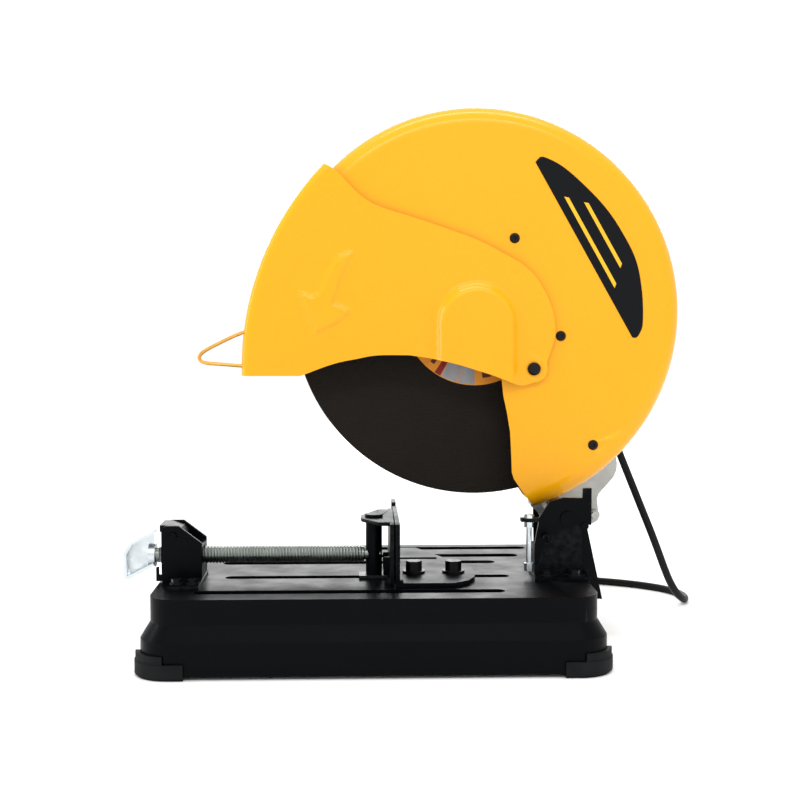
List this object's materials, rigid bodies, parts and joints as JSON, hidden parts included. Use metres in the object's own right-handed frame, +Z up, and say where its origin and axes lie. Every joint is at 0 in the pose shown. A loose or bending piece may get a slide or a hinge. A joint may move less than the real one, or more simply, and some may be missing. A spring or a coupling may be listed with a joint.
{
  "type": "abrasive chop saw",
  "caption": "Bench abrasive chop saw with a pressed steel base, tilting guarded wheel head, lifting front guard, screw vise and fence",
  "frame": {"origin": "centre of the four bench-bolt holes, on the bench", "axes": "+X towards the head pivot and rear, -Y the guard side, +Y the motor side, +Z up"},
  "size_m": [0.5806, 0.4371, 0.5126],
  "materials": {
    "black_paint": "satin black powder coat",
    "yellow_paint": "gloss yellow powder coat",
    "zinc": "bright zinc plate",
    "dark_steel": "oiled steel",
    "alu": "sand cast, light grey",
    "black_plastic": "moulded, fine texture",
    "rubber": "matt rubber",
    "red_plastic": "moulded",
    "abrasive": "resin-bonded abrasive with glass mesh",
    "label": "printed paper",
    "copper": "enamelled windings and laminations",
    "screw_steel": "rolled thread, oiled"
  },
  "bodies": {
    "base": {"base_plate": "black_paint", "rubber_feet": "rubber", "pivot_bracket": "black_paint", "bracket_bolts": "dark_steel", "pivot_pin": "dark_steel", "pivot_pin_clips": "dark_steel", "return_spring": "dark_steel", "depth_stop": "zinc", "fence": "black_paint", "fence_bolts": "dark_steel", "vise_bracket": "black_paint", "vise_bracket_bolts": "dark_steel", "deflector_pin": "dark_steel", "cord_tube": "rubber", "cord_coil": "rubber", "cord_tail": "rubber", "cord_plug": "black_plastic"},
    "deflector": {"spark_deflector": "black_paint"},
    "lock_pin_body": {"lock_pin": "dark_steel"},
    "nut_lever": {"half_nut_lever": "black_paint"},
    "jaw": {"jaw_plate": "black_paint", "jaw_post": "black_paint", "jaw_guide": "dark_steel"},
    "crank": {"lead_screw": "screw_steel", "crank_handle": "zinc"},
    "trigger_body": {"trigger": "red_plastic"},
    "lock_button": {"spindle_lock": "red_plastic"},
    "head": {"arm_casting": "alu", "gear_case_cover": "alu", "cover_screws": "dark_steel", "motor_housing": "black_plastic", "motor_end_cap": "black_plastic", "end_cap_screws": "zinc", "stator": "copper", "brush_caps": "black_plastic", "carbon_brushes": "black_plastic", "bearings": "zinc", "handle_upper": "black_plastic", "handle_lower": "black_plastic", "handle_screws": "zinc", "switch_module": "black_plastic", "carry_handle": "black_plastic", "fixed_guard": "yellow_paint", "guard_screws": "dark_steel", "guard_decal": "black_paint", "guard_pivot_screw": "dark_steel", "cord_boot": "rubber"},
    "guard": {"moving_guard": "yellow_paint", "lift_loop": "zinc"},
    "spindle_body": {"spindle": "dark_steel", "spindle_gear": "dark_steel", "inner_flange": "dark_steel", "outer_flange": "dark_steel", "abrasive_wheel": "abrasive", "wheel_label": "label", "arbor_bolt": "dark_steel"},
    "armature": {"armature_shaft": "dark_steel", "armature_core": "copper", "commutator": "copper", "fan": "black_plastic"}
  },
  "joints": [
    {"name": "head_tilt", "type": "hinge", "parent": "base", "child": "head", "pos_m": [0.181, 0.027, 0.124], "axis": [0, -1, 0], "range_deg": [0, 32], "stiffness_Nm_per_rad": 22, "springref_deg": -42.97},
    {"name": "guard_lift", "type": "hinge", "parent": "head", "child": "guard", "pos_m": [0.154, 0, 0.2625], "axis": [0, 1, 0], "range_deg": [0, 45]},
    {"name": "wheel_spin", "type": "hinge", "parent": "head", "child": "spindle_body", "pos_m": [0.1, 0.034, 0.3156], "axis": [0, 1, 0], "continuous": true},
    {"name": "motor_spin", "type": "hinge", "parent": "head", "child": "armature", "pos_m": [0.134, 0.15, 0.3495], "axis": [0, 1, 0], "continuous": true},
    {"name": "trigger_pull", "type": "slide", "parent": "head", "child": "trigger_body", "axis": [-0.766, 0, 0.6428], "range_m": [0, 0.006], "stiffness_N_per_m": 400},
    {"name": "spindle_lock_press", "type": "slide", "parent": "head", "child": "lock_button", "axis": [0, -1, 0], "range_m": [0, 0.007], "stiffness_N_per_m": 400},
    {"name": "jaw_slide", "type": "slide", "parent": "base", "child": "jaw", "axis": [-1, 0, 0], "range_m": [0, 0.12]},
    {"name": "crank_turn", "type": "hinge", "parent": "jaw", "child": "crank", "pos_m": [-0.2, -0.036, 0.091], "axis": [1, 0, 0], "continuous": true},
    {"name": "half_nut_lift", "type": "hinge", "parent": "base", "child": "nut_lever", "pos_m": [-0.184, -0.036, 0.112], "axis": [0, 1, 0], "range_deg": [0, 40]},
    {"name": "deflector_swing", "type": "hinge", "parent": "base", "child": "deflector", "pos_m": [0.197, 0.01, 0.117], "axis": [0, -1, 0], "range_deg": [0, 40]},
    {"name": "lock_pin_push", "type": "slide", "parent": "base", "child": "lock_pin_body", "axis": [0, 1, 0], "range_m": [0, 0.012]}
  ],
  "couplings": [
    {"joint": "guard_lift", "follows": "head_tilt", "ratio": 1.4062},
    {"joint": "motor_spin", "follows": "wheel_spin", "ratio": -5}
  ]
}
